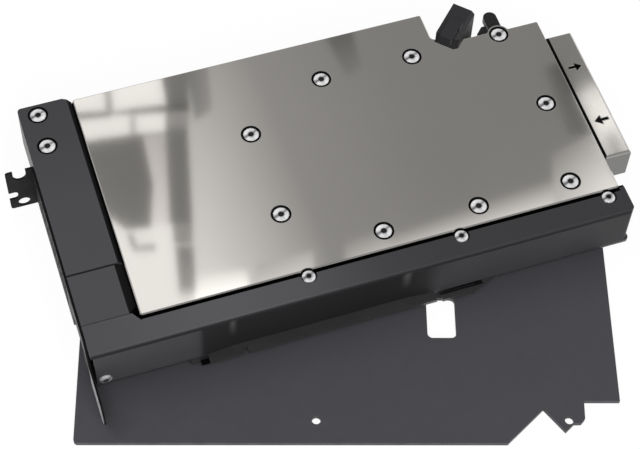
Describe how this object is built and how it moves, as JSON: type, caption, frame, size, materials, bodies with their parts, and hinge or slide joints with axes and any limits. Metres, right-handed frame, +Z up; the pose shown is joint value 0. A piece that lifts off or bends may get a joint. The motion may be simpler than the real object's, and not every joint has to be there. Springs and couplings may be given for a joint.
{
  "type": "gpu water block",
  "caption": "Full-cover liquid cooling block on a graphics card board, with polished cover plate, black covers, port block, slot bracket and power connector, lying on its backplate.",
  "frame": {"origin": "middle of the base that the part lies on, at floor level", "axes": "+X along the card from the bracket to the port block, +Y from the slot edge to the connector edge, +Z up out of the polished cover plate"},
  "size_m": [0.2386, 0.1856, 0.0348],
  "materials": {
    "polished_nickel": "polished nickel plate with fine scratches",
    "nickel_copper": "nickel-plated copper, milled",
    "black_anodised": "black anodised aluminium, fine matt",
    "black_sheet": "black powder-coated steel sheet",
    "backplate_black": "black anodised aluminium sheet",
    "bright_screw": "bright stainless steel",
    "dark_screw": "black zinc-plated steel",
    "solder_mask": "black solder mask on glass fibre board",
    "gold": "gold plating",
    "chip_plastic": "black moulding compound",
    "substrate_green": "green laminate package",
    "silicon": "polished silicon",
    "thermal_pad": "soft grey thermal pad",
    "paste_grey": "grey thermal paste",
    "seal_rubber": "black rubber",
    "ferrite": "grey moulded ferrite",
    "can_aluminium": "bare drawn can",
    "connector_black": "black moulded nylon",
    "brass_spacer": "brass"
  },
  "bodies": {
    "root": {"cover_plate": "polished_nickel", "chamber_gasket": "seal_rubber", "cold_plate": "nickel_copper", "jet_plate": "bright_screw", "terminal_block": "polished_nickel", "terminal_gasket": "seal_rubber", "terminal_screws": "bright_screw", "cover_plate_screws": "bright_screw", "left_cover_upper": "black_anodised", "left_cover_lower": "black_anodised", "left_cover_screws": "bright_screw", "cover_posts": "brass_spacer", "bottom_cover": "black_anodised", "edge_screws": "bright_screw", "side_screw": "bright_screw", "io_bracket": "black_sheet", "bracket_screws": "dark_screw", "board": "solder_mask", "edge_contacts": "gold", "gpu_substrate": "substrate_green", "gpu_die": "silicon", "thermal_paste": "paste_grey", "memory_chips": "chip_plastic", "memory_pads": "thermal_pad", "power_stages": "chip_plastic", "stage_pads": "thermal_pad", "chokes": "ferrite", "choke_pads": "thermal_pad", "capacitors": "can_aluminium", "rear_capacitors": "brass_spacer", "standoffs": "brass_spacer", "board_screws": "dark_screw", "power_connector": "connector_black", "connector_contacts": "gold", "connector_arm": "black_sheet", "backplate": "backplate_black"}
  },
  "joints": []
}
